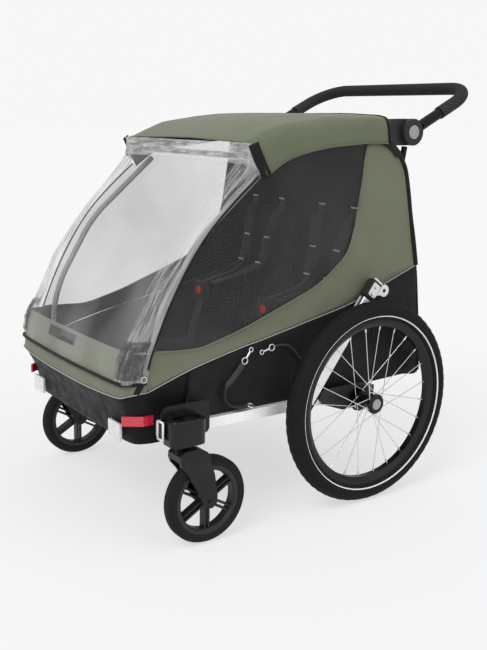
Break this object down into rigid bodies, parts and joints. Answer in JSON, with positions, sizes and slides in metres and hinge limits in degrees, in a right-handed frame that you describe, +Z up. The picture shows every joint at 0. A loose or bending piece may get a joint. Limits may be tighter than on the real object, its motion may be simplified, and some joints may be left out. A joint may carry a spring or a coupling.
{
  "type": "child bicycle trailer",
  "caption": "Two-seat child bicycle trailer set up as a stroller: folding frame, cloth cabin, spoked rear wheels, swivel casters and a tilting push bar.",
  "frame": {"origin": "on the ground, in the middle of the whole trailer's footprint", "axes": "+Z up, -Y the front, +X the trailer's left side"},
  "size_m": [0.753, 1.026, 1.0189],
  "materials": {
    "green_cloth": "woven polyester, matt",
    "black_cloth": "coated woven polyester, matt",
    "window_film": "tinted clear film",
    "clear_film": "clear vinyl film",
    "cushion_cloth": "padded woven polyester",
    "webbing": "woven webbing",
    "cord": "braided cord",
    "aluminium": "anodised satin",
    "steel": "zinc plated",
    "black_metal": "black powder coat",
    "black_plastic": "moulded, fine texture",
    "grey_plastic": "moulded, satin",
    "red_plastic": "moulded",
    "tyre_rubber": "black rubber",
    "grip_foam": "foam sleeve",
    "white_lens": "prismatic reflector",
    "red_lens": "prismatic reflector",
    "board": "plastic board",
    "spoke_steel": "stainless wire"
  },
  "bodies": {
    "chassis": {"side_rails": "aluminium", "cross_tubes": "aluminium", "rail_brackets": "black_plastic", "frame_hinges": "black_metal", "caster_mounts": "black_plastic", "floor_boards": "board", "tub_front": "black_cloth", "front_panel": "green_cloth", "front_cover": "clear_film", "side_skirts": "black_cloth", "side_panels": "green_cloth", "side_windows": "window_film", "roof_canopy": "green_cloth", "rear_wall_lower": "black_cloth", "rear_wall_upper": "black_cloth", "seat_cushions": "cushion_cloth", "seat_backs": "cushion_cloth", "harness_straps": "webbing", "harness_buckles": "black_plastic", "reflectors_white": "white_lens", "reflectors_red": "red_lens", "safety_strap": "webbing", "tether_cord": "cord", "strap_hardware": "steel"},
    "rear_frame": {"rear_uprights": "black_metal", "handle_housings": "black_plastic"},
    "roof_frame": {"roof_tubes": "black_metal", "roof_front_bar": "black_metal"},
    "struts": {"front_struts": "black_metal"},
    "handlebar": {"handle_tube": "black_metal", "handle_grip": "grip_foam", "handle_hubs": "black_plastic"},
    "brake_lever": {"brake_pedal": "black_plastic"},
    "tow_arm": {"tow_arm": "aluminium"},
    "coupler": {"coupler_body": "black_plastic", "hitch_eye": "steel"},
    "wheel_left": {"tyre_left": "tyre_rubber", "rim_left": "black_metal", "spokes_left": "spoke_steel", "hub_left": "black_metal"},
    "wheel_release_left": {"wheel_button_left": "grey_plastic"},
    "caster_left": {"caster_fork_left": "black_plastic"},
    "caster_roller_left": {"caster_tyre_left": "tyre_rubber", "caster_wheel_left": "black_plastic"},
    "caster_release_left": {"caster_button_left": "black_plastic"},
    "handle_release_left": {"handle_button_left": "grey_plastic"},
    "brake_bolt_left": {"brake_pin_left": "steel"},
    "buckle_release_left": {"buckle_button_left": "red_plastic"},
    "wheel_right": {"tyre_right": "tyre_rubber", "rim_right": "black_metal", "spokes_right": "spoke_steel", "hub_right": "black_metal"},
    "wheel_release_right": {"wheel_button_right": "grey_plastic"},
    "caster_right": {"caster_fork_right": "black_plastic"},
    "caster_roller_right": {"caster_tyre_right": "tyre_rubber", "caster_wheel_right": "black_plastic"},
    "caster_release_right": {"caster_button_right": "black_plastic"},
    "handle_release_right": {"handle_button_right": "grey_plastic"},
    "brake_bolt_right": {"brake_pin_right": "steel"},
    "buckle_release_right": {"buckle_button_right": "red_plastic"}
  },
  "joints": [
    {"name": "frame_fold", "type": "hinge", "parent": "chassis", "child": "rear_frame", "pos_m": [0, 0.16704, 0.29], "axis": [1, 0, 0], "range_deg": [0, 80], "deforming": ["front_panel", "front_cover", "side_panels", "side_windows", "roof_canopy", "rear_wall_upper", "seat_backs", "harness_straps"]},
    {"name": "roof_fold", "type": "hinge", "parent": "rear_frame", "child": "roof_frame", "pos_m": [0, 0.27704, 0.893], "axis": [1, 0, 0], "range_deg": [0, 105]},
    {"name": "strut_fold", "type": "hinge", "parent": "chassis", "child": "struts", "pos_m": [0, -0.43296, 0.345], "axis": [1, 0, 0], "range_deg": [-53, 0]},
    {"name": "handlebar_tilt", "type": "hinge", "parent": "rear_frame", "child": "handlebar", "pos_m": [0, 0.27704, 0.893], "axis": [1, 0, 0], "range_deg": [-75, 35]},
    {"name": "tow_arm_release", "type": "slide", "parent": "chassis", "child": "tow_arm", "axis": [0, 0.5966, 0.8025], "range_m": [0, 0.12]},
    {"name": "coupler_swivel", "type": "hinge", "parent": "tow_arm", "child": "coupler", "pos_m": [0.3115, 0.12588, 0.48837], "axis": [1, 0, 0], "range_deg": [-20, 20]},
    {"name": "brake_press", "type": "hinge", "parent": "chassis", "child": "brake_lever", "pos_m": [0, 0.12704, 0.246], "axis": [1, 0, 0], "range_deg": [-25, 0]},
    {"name": "wheel_spin_left", "type": "hinge", "parent": "chassis", "child": "wheel_left", "pos_m": [0.348, 0.12704, 0.25], "axis": [1, 0, 0], "continuous": true},
    {"name": "wheel_button_press_left", "type": "slide", "parent": "wheel_left", "child": "wheel_release_left", "axis": [-1, 0, 0], "range_m": [0, 0.003], "stiffness_N_per_m": 400, "springref_m": -0.003},
    {"name": "caster_swivel_left", "type": "hinge", "parent": "chassis", "child": "caster_left", "pos_m": [0.33, -0.37796, 0.235], "axis": [0, 0, 1], "continuous": true},
    {"name": "caster_spin_left", "type": "hinge", "parent": "caster_left", "child": "caster_roller_left", "pos_m": [0.33, -0.33496, 0.1], "axis": [1, 0, 0], "continuous": true},
    {"name": "caster_button_press_left", "type": "slide", "parent": "chassis", "child": "caster_release_left", "axis": [0, 0, -1], "range_m": [0, 0.005], "stiffness_N_per_m": 400, "springref_m": -0.003},
    {"name": "handle_button_press_left", "type": "slide", "parent": "handlebar", "child": "handle_release_left", "axis": [-1, 0, 0], "range_m": [0, 0.003], "stiffness_N_per_m": 500, "springref_m": -0.003},
    {"name": "brake_bolt_slide_left", "type": "slide", "parent": "chassis", "child": "brake_bolt_left", "axis": [1, 0, 0], "range_m": [0, 0.0055]},
    {"name": "buckle_button_press_left", "type": "slide", "parent": "chassis", "child": "buckle_release_left", "axis": [0, 1, 0], "range_m": [0, 0.003], "stiffness_N_per_m": 400, "springref_m": -0.003},
    {"name": "wheel_spin_right", "type": "hinge", "parent": "chassis", "child": "wheel_right", "pos_m": [-0.348, 0.12704, 0.25], "axis": [1, 0, 0], "continuous": true},
    {"name": "wheel_button_press_right", "type": "slide", "parent": "wheel_right", "child": "wheel_release_right", "axis": [1, 0, 0], "range_m": [0, 0.003], "stiffness_N_per_m": 400, "springref_m": -0.003},
    {"name": "caster_swivel_right", "type": "hinge", "parent": "chassis", "child": "caster_right", "pos_m": [-0.33, -0.37796, 0.235], "axis": [0, 0, 1], "continuous": true},
    {"name": "caster_spin_right", "type": "hinge", "parent": "caster_right", "child": "caster_roller_right", "pos_m": [-0.33, -0.33496, 0.1], "axis": [1, 0, 0], "continuous": true},
    {"name": "caster_button_press_right", "type": "slide", "parent": "chassis", "child": "caster_release_right", "axis": [0, 0, -1], "range_m": [0, 0.005], "stiffness_N_per_m": 400, "springref_m": -0.003},
    {"name": "handle_button_press_right", "type": "slide", "parent": "handlebar", "child": "handle_release_right", "axis": [1, 0, 0], "range_m": [0, 0.003], "stiffness_N_per_m": 500, "springref_m": -0.003},
    {"name": "brake_bolt_slide_right", "type": "slide", "parent": "chassis", "child": "brake_bolt_right", "axis": [-1, 0, 0], "range_m": [0, 0.0055]},
    {"name": "buckle_button_press_right", "type": "slide", "parent": "chassis", "child": "buckle_release_right", "axis": [0, 1, 0], "range_m": [0, 0.003], "stiffness_N_per_m": 400, "springref_m": -0.003}
  ],
  "couplings": [
    {"joint": "roof_fold", "follows": "frame_fold", "ratio": 1.3125},
    {"joint": "strut_fold", "follows": "frame_fold", "ratio": -0.6625},
    {"joint": "brake_bolt_slide_left", "follows": "brake_press", "m_per_rad": -0.0126},
    {"joint": "brake_bolt_slide_right", "follows": "brake_press", "m_per_rad": -0.0126}
  ]
}
